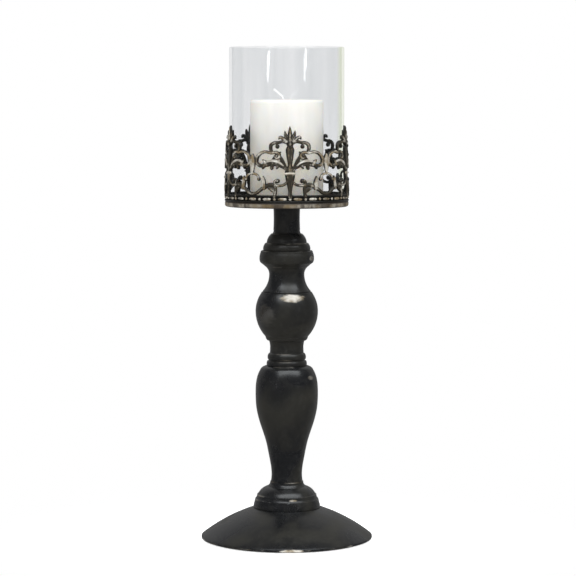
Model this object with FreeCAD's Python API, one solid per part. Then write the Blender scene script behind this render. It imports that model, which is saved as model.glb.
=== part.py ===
import FreeCAD, Part
import math
import os

Vector = FreeCAD.Vector
ORIGIN = Vector(0, 0, 0)
UP = Vector(0, 0, 1)
# How far a quarter circle of radius 1 rises above its chord.
QUARTER_ROUND = 1 - math.sqrt(0.5)

# A pillar candle holder: a spun foot, a stem of turned sections clamped on one long rod, a tray with a
# pierced gallery, and a loose glass cylinder and pillar candle standing on the tray.
# Millimetres. +Z is up, the origin is the centre of the ring that rests on the table, -Y is the front.

# ---- Driving dimensions ------------------------------------------------------------------------------
# The candle is a standard pillar size, and everything else is in proportion to it.
CANDLE_RADIUS = 35.0
CANDLE_HEIGHT = 100.0
CANDLE_EDGE = 3.0
CANDLE_FOOT_EDGE = 1.0
WICK_RADIUS = 1.3
WICK_OFFSET = -2.5
WICK_BORE_PLAY = 0.05
WICK_BORE_FLOOR = 6.0
WICK_BEND = 5.0
WICK_LEAN = 52.0
WICK_TIP_RUN = 9.5

GLASS_RADIUS = 55.0
GLASS_WALL = 2.5
GLASS_HEIGHT = 150.0

FOOT_RADIUS = 82.6
FELT_INSIDE = 68.0
FELT_OUTSIDE = 79.0
SHEET = 1.6

# Heights of the joints between the stacked pieces, from the table up.
FELT_TOP = 1.0
FOOT_SEAT = 30.3
COLLAR_TOP = 55.6
VASE_TOP = 168.1
NECK_TOP = 192.4
BALL_TOP = 239.2
COVE_TOP = 263.9
CAPITAL_TOP = 295.3
PAN_BASE = 321.6
PAN_RIM_TOP = 326.8
LOWER_WIRE_TOP = 328.8
BAND_TOP = 332.4
GALLERY_BASE = 334.3

# The rod that clamps the stem, and what it clamps with (M6).
ROD_RADIUS = 3.0
ROD_FOOT_END = 17.0
ROD_TOP_END = 323.2
BORE_RADIUS = 3.3
THREAD_PLAY = 0.05
NUT_FLATS = 10.0
NUT_HEIGHT = 5.0
FOOT_WASHER = (15.0, 2.5)
PAN_WASHER = (6.4, 1.2)

# Each section has a spigot on top that centres the next one.
SPIGOT_RADIUS = 8.0
SPIGOT_HEIGHT = 2.0
SPIGOT_PLAY = 0.15

# The tray, with a small well in its middle that keeps the nut below the floor.
PAN_FLOOR = PAN_BASE + 2.0
PAN_RADIUS = 59.25
PAN_RIM_INSIDE = 55.6
WELL_INSIDE = 8.8
WELL_OUTSIDE = 10.4
WELL_PLAY = 0.3
WELL_DEPTH = 7.0
WELL_BASE = PAN_FLOOR - WELL_DEPTH - SHEET

# The gallery: a pierced and slightly tapered wall of five equal panels.
PANELS = 5
PANEL_ANGLE = 360.0 / PANELS
GALLERY_TURN = 3.1
GALLERY_HEIGHT = 66.0
GALLERY_RADIUS = 59.3
GALLERY_TAPER = 2.0
GALLERY_WALL = 1.8
DRAWING_RADIUS = 59.0
SIDE_CENTRE_U = 21.0
PRISM_START = 50.0
PRISM_DEPTH = 14.0
LEAF_GAP = 0.03
LEAF_WALL = 1.3
ROSETTE_V = 47.9
BOSS_RADIUS = 2.5
BOSS_ROOT = 1.1
BOSS_RISE = 0.9

# The two plain wires and the bead-and-reel band between them.
WIRE_INSIDE = 56.5
WIRE_OUTSIDE = 59.0
WIRE_BULGE = 0.5
BAND_INSIDE = 56.0
BAND_OUTSIDE = 58.2
STUD_SINK = 0.4
PAIRS_PER_PANEL = 5
BEAD_RADIUS = 1.5
REEL_HALF_LENGTH = 3.6
REEL_RADIUS = 1.4


# ---- Tools for turned pieces -------------------------------------------------------------------------
def outline_edge(start, point):
    """Edge from start to an outline point: straight, or an arc as high above its chord as point[2] says."""
    a = Vector(start[0], 0, start[1])
    b = Vector(point[0], 0, point[1])
    if len(point) < 3:
        return Part.LineSegment(a, b).toShape()
    along = (b - a).normalize()
    right = Vector(along.z, 0, -along.x)
    return Part.Arc(a, (a + b) * 0.5 + right * point[2], b).toShape()


def turned(outline):
    """Solid of revolution about Z from a closed outline of (radius, height[, arc height]) points.

    A positive arc height bulges to the right of the way the outline runs, so outwards on the way up.
    A list of points inside the outline is a smooth curve through all of them.
    """
    edges = []
    here = outline[0]
    for step in outline[1:] + [outline[0][:2]]:
        if isinstance(step, list):
            curve = Part.BSplineCurve()
            curve.interpolate([Vector(r, 0, z) for r, z in [here[:2]] + step])
            edges.append(curve.toShape())
            here = step[-1]
        else:
            edges.append(outline_edge(here, step))
            here = step
    face = Part.Face(Part.Wire(edges))
    solid = face.revolve(ORIGIN, UP, 360)
    return solid if solid.Volume > 0 else solid.reversed()


def stem_section(base, top, outside, core):
    """A cast section of the stem: its outside going up, a core going down, a spigot and its socket."""
    spigot_top = top + SPIGOT_HEIGHT
    socket_top = base + SPIGOT_HEIGHT + SPIGOT_PLAY
    socket_radius = SPIGOT_RADIUS + SPIGOT_PLAY
    spigot = [(SPIGOT_RADIUS, top), (SPIGOT_RADIUS, spigot_top), (BORE_RADIUS, spigot_top)]
    socket = [(BORE_RADIUS, socket_top), (socket_radius, socket_top), (socket_radius, base)]
    return turned(outside + spigot + core + socket)


def tube(inside, outside, base, top):
    """Plain upright ring."""
    return turned([(inside, base), (outside, base), (outside, top), (inside, top)])


def hex_nut(base):
    """M6 nut standing at the height base."""
    corner = NUT_FLATS / math.sqrt(3)
    corners = [Vector(corner * math.cos(math.radians(60 * k)), corner * math.sin(math.radians(60 * k)), base)
               for k in range(7)]
    prism = Part.Face(Part.makePolygon(corners)).extrude(UP * NUT_HEIGHT)
    bore = Part.makeCylinder(ROD_RADIUS + THREAD_PLAY, NUT_HEIGHT + 2, Vector(0, 0, base - 1))
    return prism.cut(bore)


# ---- Foot and stem -----------------------------------------------------------------------------------
def foot_dome():
    """Spun sheet dome with a rim turned in underneath."""
    return turned([
        (FOOT_RADIUS - 0.5, FELT_TOP), (FOOT_RADIUS, FELT_TOP + 0.5), (FOOT_RADIUS, 3.2),
        (36.6, 28.7, 2.17), (32.7, FOOT_SEAT), (BORE_RADIUS, FOOT_SEAT),
        (BORE_RADIUS, FOOT_SEAT - SHEET), (32.1, FOOT_SEAT - SHEET), (36.0, 27.1),
        (80.5, FELT_TOP + SHEET, -2.1), (67.0, FELT_TOP + SHEET), (67.0, FELT_TOP)])


def foot_collar():
    """Ring moulding that carries the stem on the dome, open underneath."""
    return turned([
        (31.9, FOOT_SEAT), (32.3, 30.9), (32.1, 33.0), (30.6, 38.6), (30.0, 39.1, 0.15),
        (28.7, 42.9, -0.3), (27.7, 43.5, 0.15), (18.2, 50.9, 1.4), (17.7, 51.6),
        (16.0, COLLAR_TOP, -0.5), (SPIGOT_RADIUS, COLLAR_TOP), (SPIGOT_RADIUS, COLLAR_TOP + SPIGOT_HEIGHT),
        (BORE_RADIUS, COLLAR_TOP + SPIGOT_HEIGHT), (BORE_RADIUS, 49.3), (13.3, 49.3), (23.9, 41.6),
        (27.0, 36.0), (27.0, FOOT_SEAT)])


def vase():
    """The long baluster of the stem."""
    outside = [(15.4, COLLAR_TOP),
               [(14.7, 63.0), (17.0, 79.8), (20.3, 95.4), (25.3, 110.9), (29.2, 126.6),
                (30.1, 142.1), (28.9, 155.7), (25.5, 164.3)],
               (22.1, 167.3, 0.45), (19.9, VASE_TOP, 0.1)]
    core = [(BORE_RADIUS, 162.0), (20.3, 162.0), (26.0, 151.9), (26.4, 133.7), (20.9, 108.3),
            (13.3, 78.8), (11.3, 64.6), (BORE_RADIUS, 62.6)]
    return stem_section(COLLAR_TOP, VASE_TOP, outside, core)


def vase_neck():
    """Ring, bead and short neck above the vase."""
    outside = [(19.1, VASE_TOP), (18.7, 172.8, 0.5), (17.5, 173.4), (17.5, 174.1), (18.2, 174.5),
               (17.3, 179.9, 0.7), (16.3, 180.4), (16.0, 186.3), (17.0, NECK_TOP, -0.15)]
    return stem_section(VASE_TOP, NECK_TOP, outside, [])


def ball():
    """The round knop in the middle of the stem."""
    outside = [(17.7, NECK_TOP), (20.1, 194.8, 0.5), (20.7, 196.6), (30.0, 221.1, 2.5),
               (24.6, 238.1, 1.35), (23.9, BALL_TOP, 0.15)]
    core = [(BORE_RADIUS, 233.2), (20.3, 233.2), (26.6, 221.1), (17.8, 198.9), (BORE_RADIUS, 198.9)]
    return stem_section(NECK_TOP, BALL_TOP, outside, core)


def cove_neck():
    """Waisted neck between the ball and the capital."""
    outside = [(23.0, BALL_TOP), (23.0, 240.3), (16.9, 255.8, -1.5), (20.6, COVE_TOP, -1.1)]
    return stem_section(BALL_TOP, COVE_TOP, outside, [])


def capital():
    """Three stepped rolls, each smaller than the one below."""
    outside = [(20.8, COVE_TOP), (25.0, 267.3, -0.2), (26.2, 271.4, 0.4), (25.1, 277.5, 0.35),
               (23.8, 279.2, 0.4), (22.2, 279.4), (22.7, 280.2), (20.5, 286.3, 0.7), (19.1, 286.7),
               (19.2, 287.6), (14.8, CAPITAL_TOP, 0.8)]
    core = [(BORE_RADIUS, 289.0), (15.2, 287.0), (21.2, 274.9), (17.2, 268.9), (BORE_RADIUS, 268.9)]
    return stem_section(COVE_TOP, CAPITAL_TOP, outside, core)


def spool():
    """Short round post under the tray, hollowed on top for the tray's well."""
    socket_top = CAPITAL_TOP + SPIGOT_HEIGHT + SPIGOT_PLAY
    socket_radius = SPIGOT_RADIUS + SPIGOT_PLAY
    return turned([
        (13.8, CAPITAL_TOP), (12.8, 299.5, -0.5), (12.9, PAN_BASE, -0.35),
        (WELL_OUTSIDE + WELL_PLAY, PAN_BASE), (WELL_OUTSIDE + WELL_PLAY, WELL_BASE),
        (BORE_RADIUS, WELL_BASE), (BORE_RADIUS, socket_top), (socket_radius, socket_top),
        (socket_radius, CAPITAL_TOP)])


# ---- Tray and border ---------------------------------------------------------------------------------
def pan():
    """Shallow tray with a thick rounded rim and a pressed well in the middle."""
    return turned([
        (WELL_OUTSIDE, PAN_BASE), (57.3, PAN_BASE), (PAN_RADIUS, PAN_BASE + 2.1, 0.55),
        (PAN_RADIUS, PAN_BASE + 3.1), (58.6, PAN_RIM_TOP, 0.3), (PAN_RIM_INSIDE, PAN_RIM_TOP), (PAN_RIM_INSIDE, PAN_FLOOR),
        (WELL_INSIDE, PAN_FLOOR), (WELL_INSIDE, PAN_FLOOR - WELL_DEPTH),
        (BORE_RADIUS, PAN_FLOOR - WELL_DEPTH), (BORE_RADIUS, WELL_BASE), (WELL_OUTSIDE, WELL_BASE)])


def wire_ring(base, top):
    """Soldered wire, flat above and below and rounded on its outside."""
    return turned([(WIRE_INSIDE, base), (WIRE_OUTSIDE, base), (WIRE_OUTSIDE, top, WIRE_BULGE),
                   (WIRE_INSIDE, top)])


def reel():
    """Long bead with round ends that lies along X."""
    straight = REEL_HALF_LENGTH - REEL_RADIUS
    rise = REEL_RADIUS * math.sqrt(0.5)
    left, right = Vector(-REEL_HALF_LENGTH, 0, 0), Vector(REEL_HALF_LENGTH, 0, 0)
    top_left, top_right = Vector(-straight, REEL_RADIUS, 0), Vector(straight, REEL_RADIUS, 0)
    left_end = Part.Arc(left, Vector(-straight - rise, rise, 0), top_left).toShape()
    right_end = Part.Arc(top_right, Vector(straight + rise, rise, 0), right).toShape()
    profile = Part.Wire([left_end, Part.makeLine(top_left, top_right), right_end, Part.makeLine(right, left)])
    return Part.Face(profile).revolve(ORIGIN, Vector(1, 0, 0), 360)


def border_band():
    """Strip between the wires, with round beads and long reels in turn. A bead is under each fleur-de-lis."""
    seat = Vector(0, STUD_SINK - BAND_OUTSIDE, (LOWER_WIRE_TOP + BAND_TOP) / 2)
    bead = Part.makeSphere(BEAD_RADIUS, seat, Vector(0, -1, 0))
    long_bead = reel().translated(seat)
    pitch = PANEL_ANGLE / PAIRS_PER_PANEL
    studs = []
    for k in range(PANELS * PAIRS_PER_PANEL):
        angle = GALLERY_TURN + k * pitch
        studs.append(bead.rotated(ORIGIN, UP, angle))
        studs.append(long_bead.rotated(ORIGIN, UP, angle + pitch / 2))
    return tube(BAND_INSIDE, BAND_OUTSIDE, LOWER_WIRE_TOP, BAND_TOP).multiFuse(studs)


# ---- Gallery panels ----------------------------------------------------------------------------------
# The pattern is drawn on the unrolled wall: u runs round the wall from a panel's middle and v runs up
# from the upper wire. Only the right half is listed, since each panel is the same on both sides.
# A ribbon is ([points of its centre line], [its width at each point]).
def volute(centre, inner, outer, first, last, count):
    """Points of a spiral about centre, from the radius inner at the angle first to outer at last."""
    points = []
    for k in range(count):
        share = k / (count - 1)
        radius = inner + (outer - inner) * share
        angle = math.radians(first + (last - first) * share)
        points.append((centre[0] + radius * math.cos(angle), centre[1] + radius * math.sin(angle)))
    return points


# Fleur-de-lis on the panel's axis: palmette, lance, waist and tapered body.
MIDDLE_RIBBONS = [
    ([(0, 48), (0, 54), (0, 59.5), (0, 64.5)], [2.4, 3.8, 3.2, 0.5]),
    ([(0, 26.5), (0, 31), (0, 38), (0, 43), (0, 47)], [3.4, 4.4, 6.6, 7.4, 3.6]),
    ([(0, 17.5), (0, 21), (0, 24), (0, 28)], [9.0, 9.8, 8.6, 3.6]),
    ([(0, 19), (0, 14), (0, 8), (0, 3), (0, -1.0)], [9.0, 7.4, 4.8, 4.0, 5.4]),
]
# Parts of the fleur-de-lis beside the axis, each mirrored.
MIDDLE_SIDE_RIBBONS = [
    ([(1.0, 48.5), (2.7, 53.0), (4.3, 56.6), (5.0, 60.2)], [1.8, 3.0, 2.6, 0.6]),
    ([(1.8, 48.6), (4.8, 51.4), (7.6, 53.6), (9.8, 54.4), (10.6, 52.8)], [1.8, 2.6, 2.6, 2.0, 1.2]),
    ([(2.6, 22.5), (5.2, 27.5), (7.4, 31.8), (9.3, 35.4), (10.6, 38.8)], [2.0, 2.8, 3.0, 2.4, 1.2]),
    ([(0, 20.1), (5.2, 20.1)], [2.6, 2.4]),
]
MIDDLE_DISCS = [((0, ROSETTE_V), 3.1)]

SCROLL_SPIRAL = volute((12.6, 36.7), 1.1, 3.3, 0.0, -270.0, 6)
# Scrolls and leaves that fill each side of a panel out to its joint with the next.
SIDE_RIBBONS = [
    # shoulder arm from the rosette, and the curl that hangs from it
    ([(1.5, 48.2), (6.6, 50.2), (11.2, 49.3), (15.4, 49.0), (18.5, 46.8), (18.9, 43.6), (17.6, 40.2)],
     [2.2, 2.2, 2.0, 2.2, 2.4, 2.2, 2.0]),
    ([(9.6, 49.8), (12.3, 48.6), (12.9, 46.6)], [1.6, 1.8, 1.6]),
    # C-scroll: a volute, over the top and down the side of the joint leaf
    (SCROLL_SPIRAL + [(18.6, 39.6), (24.6, 40.6), (29.6, 38.9), (32.9, 35.0), (33.2, 30.6), (30.4, 27.7)],
     [1.8, 1.9, 2.0, 2.1, 2.1, 2.2, 2.2, 2.4, 2.8, 3.0, 2.8, 2.2]),
    # leaf scroll under it, with its lobes
    ([(3.2, 24.2), (6.8, 26.6), (11.6, 28.8), (17.5, 29.8), (23.8, 28.5), (29.0, 27.6), (32.6, 29.6)],
     [2.2, 3.0, 3.6, 4.4, 3.6, 2.8, 2.4]),
    ([(17.0, 29.4), (17.6, 25.0)], [3.6, 1.4]),
    ([(21.8, 28.8), (23.4, 31.2), (25.4, 33.4)], [3.2, 3.0, 1.0]),
    ([(10.6, 28.6), (12.6, 25.2)], [2.8, 1.2]),
    ([(24.2, 28.6), (26.6, 25.0)], [2.8, 1.2]),
    ([(8.6, 27.4), (10.6, 31.4)], [2.6, 1.2]),
    # hook from the body
    ([(2.6, 12.6), (5.4, 10.2), (9.6, 9.0), (13.7, 9.7), (15.0, 12.4), (12.8, 14.3)],
     [2.0, 1.9, 1.9, 2.0, 1.8, 1.6]),
    # arch on its leg, running down to the swag at the joint
    ([(14.9, -1.0), (13.9, 4.0), (14.6, 8.3), (18.0, 9.8), (22.0, 8.7), (26.0, 6.9), (29.8, 4.4),
      (33.0, 2.2), (38.5, 1.0)], [2.8, 2.0, 2.0, 2.4, 2.4, 2.2, 2.2, 2.4, 2.6]),
    ([(14.6, 2.6), (17.0, 5.2), (19.8, 6.4)], [1.6, 3.0, 1.4]),
    # upright leaf on the arch
    ([(25.0, 6.4), (25.7, 10.6), (26.0, 14.0), (26.2, 17.6)], [2.4, 4.2, 3.4, 0.8]),
]
# Balls in the curls, and the bead that joins the hook to the arch.
SIDE_DISCS = [((12.2, 45.6), 1.6), ((11.9, 13.4), 1.7), ((14.4, 9.2), 1.5)]

# Pendant leaf over the joint of two panels, with an arm and a drop on each side, drawn about the joint.
JOINT_RIBBONS = [
    ([(0, 38.0), (0, 35.0), (0, 30.0), (0, 25.0), (0, 19.6)], [2.0, 5.4, 6.4, 4.4, 1.6]),
]
JOINT_SIDE_RIBBONS = [
    ([(0, 20.6), (3.2, 19.8), (5.8, 18.3), (7.0, 16.2)], [2.0, 1.9, 1.8, 1.6]),
]
JOINT_SIDE_DISCS = [((7.0, 15.4), 1.6)]


def flat_point(u, v, centre):
    """Point of the unrolled drawing in the upright plane that faces the wall at u = centre."""
    return Vector(DRAWING_RADIUS * math.sin((u - centre) / DRAWING_RADIUS), 0, GALLERY_BASE + v)


def ribbon(points, widths, centre):
    """Flat face along a smooth centre line, with its own width at each point and round ends."""
    middle = Part.BSplineCurve()
    middle.interpolate([flat_point(u, v, centre) for u, v in points])
    knots = [middle.parameter(flat_point(u, v, centre)) for u, v in points]
    sides = ([], [])
    for k in range(len(knots) - 1):
        last_span = k == len(knots) - 2
        for share in (0.0, 0.5, 1.0) if last_span else (0.0, 0.5):
            at = knots[k] + (knots[k + 1] - knots[k]) * share
            half = (widths[k] + (widths[k + 1] - widths[k]) * share) / 2
            along = middle.tangent(at)[0]
            across = Vector(-along.z, 0, along.x) * half
            sides[0].append(middle.value(at) + across)
            sides[1].append(middle.value(at) - across)
    edges = []
    for side in sides:
        curve = Part.BSplineCurve()
        curve.interpolate(side)
        edges.append(curve.toShape())
    start_cap = middle.value(knots[0]) - middle.tangent(knots[0])[0] * (widths[0] / 2)
    end_cap = middle.value(knots[-1]) + middle.tangent(knots[-1])[0] * (widths[-1] / 2)
    edges.append(Part.Arc(sides[0][-1], end_cap, sides[1][-1]).toShape())
    edges.append(Part.Arc(sides[0][0], start_cap, sides[1][0]).toShape())
    return Part.Face(Part.Wire(Part.__sortEdges__(edges)))


def disc(place, radius, centre):
    """Flat round face of the drawing."""
    middle = flat_point(place[0], place[1], centre)
    return Part.Face(Part.Wire(Part.makeCircle(radius, middle, Vector(0, -1, 0))))


def both_sides(ribbons):
    """The ribbons and their mirror images about the axis of the drawing."""
    return ribbons + [([(-u, v) for u, v in points], widths) for points, widths in ribbons]


def both_discs(discs):
    """The discs and their mirror images about the axis of the drawing."""
    return discs + [((-u, v), radius) for (u, v), radius in discs]


def drawn(ribbons, discs, centre):
    """Flat faces of some ribbons and discs, for the plane at u = centre."""
    faces = [ribbon(points, widths, centre) for points, widths in ribbons]
    return faces + [disc(place, radius, centre) for place, radius in discs]


def prisms(faces, centre):
    """Faces of the drawing pushed through the wall, square to it at u = centre."""
    turn = math.degrees(centre / DRAWING_RADIUS)
    solids = []
    for face in faces:
        solid = face.translated(Vector(0, -PRISM_START, 0)).extrude(Vector(0, -PRISM_DEPTH, 0))
        solids.append(solid.rotated(ORIGIN, UP, turn))
    return solids


def wall_sector(inset, rise, angle):
    """Sector of the tapered wall about the front, between two offsets from its outer face."""
    low = GALLERY_RADIUS
    high = GALLERY_RADIUS - GALLERY_TAPER
    top = GALLERY_BASE + GALLERY_HEIGHT
    points = [(low - inset, GALLERY_BASE), (low + rise, GALLERY_BASE), (high + rise, top), (high - inset, top)]
    outline = [Vector(r, 0, z) for r, z in points + points[:1]]
    sector = Part.Face(Part.makePolygon(outline)).revolve(ORIGIN, UP, angle)
    return sector.rotated(ORIGIN, UP, -90 - angle / 2)


def filigree_panel():
    """One panel of the gallery, centred on the front."""
    middle = prisms(drawn(MIDDLE_RIBBONS + both_sides(MIDDLE_SIDE_RIBBONS), MIDDLE_DISCS, 0), 0)
    right = prisms(drawn(SIDE_RIBBONS, SIDE_DISCS, SIDE_CENTRE_U), SIDE_CENTRE_U)
    left = [solid.mirror(ORIGIN, Vector(1, 0, 0)) for solid in right]
    pattern = middle[0].multiFuse(middle[1:] + right + left)
    panel = wall_sector(GALLERY_WALL, 0, PANEL_ANGLE).common(pattern)
    return panel.fuse(rosette_boss()).removeSplitter()


def rosette_boss():
    """Round boss in the middle of the rosette."""
    face = GALLERY_RADIUS - GALLERY_TAPER * ROSETTE_V / GALLERY_HEIGHT
    root = Vector(0, BOSS_ROOT - face, GALLERY_BASE + ROSETTE_V)
    return Part.makeCylinder(BOSS_RADIUS, BOSS_ROOT + BOSS_RISE, root, Vector(0, -1, 0))


def joint_leaf():
    """Leaf soldered over a joint between two panels, centred on the front."""
    faces = drawn(JOINT_RIBBONS + both_sides(JOINT_SIDE_RIBBONS), both_discs(JOINT_SIDE_DISCS), 0)
    solids = prisms(faces, 0)
    pattern = solids[0].multiFuse(solids[1:])
    return wall_sector(-LEAF_GAP, LEAF_GAP + LEAF_WALL, PANEL_ANGLE).common(pattern).removeSplitter()


# ---- Glass and candle --------------------------------------------------------------------------------
def glass_cylinder():
    """Open glass tube with a fire-polished rim."""
    inside = GLASS_RADIUS - GLASS_WALL
    shoulder = PAN_FLOOR + GLASS_HEIGHT - GLASS_WALL / 2
    return turned([(inside, PAN_FLOOR), (GLASS_RADIUS, PAN_FLOOR), (GLASS_RADIUS, shoulder),
                   (inside, shoulder, GLASS_WALL / 2)])


def candle():
    """Pillar candle with softened edges, bored for its wick."""
    top = PAN_FLOOR + CANDLE_HEIGHT
    body = turned([
        (0, PAN_FLOOR), (CANDLE_RADIUS - CANDLE_FOOT_EDGE, PAN_FLOOR),
        (CANDLE_RADIUS, PAN_FLOOR + CANDLE_FOOT_EDGE, CANDLE_FOOT_EDGE * QUARTER_ROUND),
        (CANDLE_RADIUS, top - CANDLE_EDGE),
        (CANDLE_RADIUS - CANDLE_EDGE, top, CANDLE_EDGE * QUARTER_ROUND), (0, top)])
    bore = Part.makeCylinder(WICK_RADIUS + WICK_BORE_PLAY, CANDLE_HEIGHT,
                             Vector(WICK_OFFSET, 0, PAN_FLOOR + WICK_BORE_FLOOR))
    return body.cut(bore)


def wick():
    """Wick that runs down the candle and leans over above it."""
    base = Vector(WICK_OFFSET, 0, PAN_FLOOR + WICK_BORE_FLOOR)
    bend = Vector(WICK_OFFSET, 0, PAN_FLOOR + CANDLE_HEIGHT)
    lean = math.radians(WICK_LEAN)
    centre = bend - Vector(WICK_BEND, 0, 0)
    halfway = centre + Vector(WICK_BEND * math.cos(lean / 2), 0, WICK_BEND * math.sin(lean / 2))
    leave = centre + Vector(WICK_BEND * math.cos(lean), 0, WICK_BEND * math.sin(lean))
    tip = leave + Vector(-math.sin(lean), 0, math.cos(lean)) * WICK_TIP_RUN
    path = Part.Wire([Part.LineSegment(base, bend).toShape(), Part.Arc(bend, halfway, leave).toShape(),
                      Part.LineSegment(leave, tip).toShape()])
    section = Part.Wire(Part.makeCircle(WICK_RADIUS, base, UP))
    return path.makePipeShell([section], True, False)


# ---- All the pieces ----------------------------------------------------------------------------------
def all_pieces():
    """Every separate piece of the object, by the name of its node."""
    washer_top = FOOT_SEAT - SHEET
    well_floor = PAN_FLOOR - WELL_DEPTH
    pieces = {
        "felt_ring": tube(FELT_INSIDE, FELT_OUTSIDE, 0.0, FELT_TOP),
        "foot_dome": foot_dome(),
        "foot_washer": tube(BORE_RADIUS, FOOT_WASHER[0], washer_top - FOOT_WASHER[1], washer_top),
        "foot_nut": hex_nut(washer_top - FOOT_WASHER[1] - NUT_HEIGHT),
        "tie_rod": Part.makeCylinder(ROD_RADIUS, ROD_TOP_END - ROD_FOOT_END, Vector(0, 0, ROD_FOOT_END)),
        "foot_collar": foot_collar(),
        "vase": vase(),
        "vase_neck": vase_neck(),
        "ball": ball(),
        "cove_neck": cove_neck(),
        "capital": capital(),
        "spool": spool(),
        "pan": pan(),
        "pan_washer": tube(BORE_RADIUS, PAN_WASHER[0], well_floor, well_floor + PAN_WASHER[1]),
        "pan_nut": hex_nut(well_floor + PAN_WASHER[1]),
        "lower_wire": wire_ring(PAN_RIM_TOP, LOWER_WIRE_TOP),
        "border_band": border_band(),
        "upper_wire": wire_ring(BAND_TOP, GALLERY_BASE),
        "glass_cylinder": glass_cylinder(),
        "candle": candle(),
        "wick": wick(),
    }
    panel = filigree_panel()
    leaf = joint_leaf()
    for k in range(PANELS):
        turn = GALLERY_TURN + k * PANEL_ANGLE
        pieces["filigree_panel_%d" % (k + 1)] = panel.rotated(ORIGIN, UP, turn)
        pieces["joint_leaf_%d" % (k + 1)] = leaf.rotated(ORIGIN, UP, turn + PANEL_ANGLE / 2)
    return pieces


os.makedirs("parts", exist_ok=True)
for name, shape in all_pieces().items():
    shape.exportStep("parts/" + name + ".step")
    print(name, len(shape.Solids), "solids", round(shape.Volume), "mm3", "valid" if shape.isValid() else "INVALID")
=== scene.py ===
import math
import random

import bpy
import numpy as np
from mathutils import Matrix, Vector


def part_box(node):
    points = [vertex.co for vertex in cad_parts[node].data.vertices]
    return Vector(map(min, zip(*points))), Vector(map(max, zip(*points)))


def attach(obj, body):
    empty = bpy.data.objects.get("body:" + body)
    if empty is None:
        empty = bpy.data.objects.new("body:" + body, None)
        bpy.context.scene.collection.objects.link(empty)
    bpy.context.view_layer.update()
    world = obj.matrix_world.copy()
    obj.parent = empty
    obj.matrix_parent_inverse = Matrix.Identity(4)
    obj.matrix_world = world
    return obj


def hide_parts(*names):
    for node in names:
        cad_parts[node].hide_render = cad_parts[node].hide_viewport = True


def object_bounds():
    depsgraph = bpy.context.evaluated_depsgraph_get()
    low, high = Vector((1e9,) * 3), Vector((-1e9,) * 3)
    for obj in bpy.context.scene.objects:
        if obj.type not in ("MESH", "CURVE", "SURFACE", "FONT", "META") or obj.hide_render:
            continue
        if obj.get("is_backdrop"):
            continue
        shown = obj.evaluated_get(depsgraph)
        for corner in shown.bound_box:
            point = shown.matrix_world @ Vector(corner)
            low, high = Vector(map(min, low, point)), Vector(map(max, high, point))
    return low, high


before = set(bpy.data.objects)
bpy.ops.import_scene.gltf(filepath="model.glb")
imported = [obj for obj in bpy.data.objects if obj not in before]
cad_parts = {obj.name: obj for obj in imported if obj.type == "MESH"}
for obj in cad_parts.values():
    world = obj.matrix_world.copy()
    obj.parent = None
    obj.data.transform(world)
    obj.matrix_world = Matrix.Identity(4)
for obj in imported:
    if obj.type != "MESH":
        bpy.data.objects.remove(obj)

# A pillar candle holder. The turned stem, foot, felt, tray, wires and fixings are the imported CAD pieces
# with new materials and softened edges. The pierced gallery, its beaded border, the glass, the candle and
# the wick are built here. Metres, +Z up, the front faces -Y.

cad_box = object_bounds()
MM = 0.001


# ---- Places read from the frame ------------------------------------------------------------------------
def low(node):
    """Lowest corner of a node's box, in metres."""
    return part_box(node)[0]


def high(node):
    """Highest corner of a node's box, in metres."""
    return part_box(node)[1]


def radius_of(node):
    """Outer radius of a round node, in metres."""
    return (high(node).x - low(node).x) / 2


# The pierced wall stands on the upper wire and leans in by 2 mm over its 66 mm. Its front panel is turned a
# little to the right. WALL_DEPTH and DRAWING_RADIUS, where widths are true, are in the drawing's millimetres.
GALLERY_BASE = high("upper_wire").z
GALLERY_TURN = math.radians(3.1)
PANELS = 5
PANEL_ANGLE = math.tau / PANELS
WALL_RADIUS = radius_of("upper_wire") - 0.2 * MM
WALL_TAPER = 2.0 / 66.0
WALL_DEPTH = 1.8
DRAWING_RADIUS = 59.0
RIM_TOP = low("lower_wire").z
STEM_NODES = ["foot_dome", "foot_collar", "vase", "vase_neck", "ball", "cove_neck", "capital", "spool"]


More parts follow.
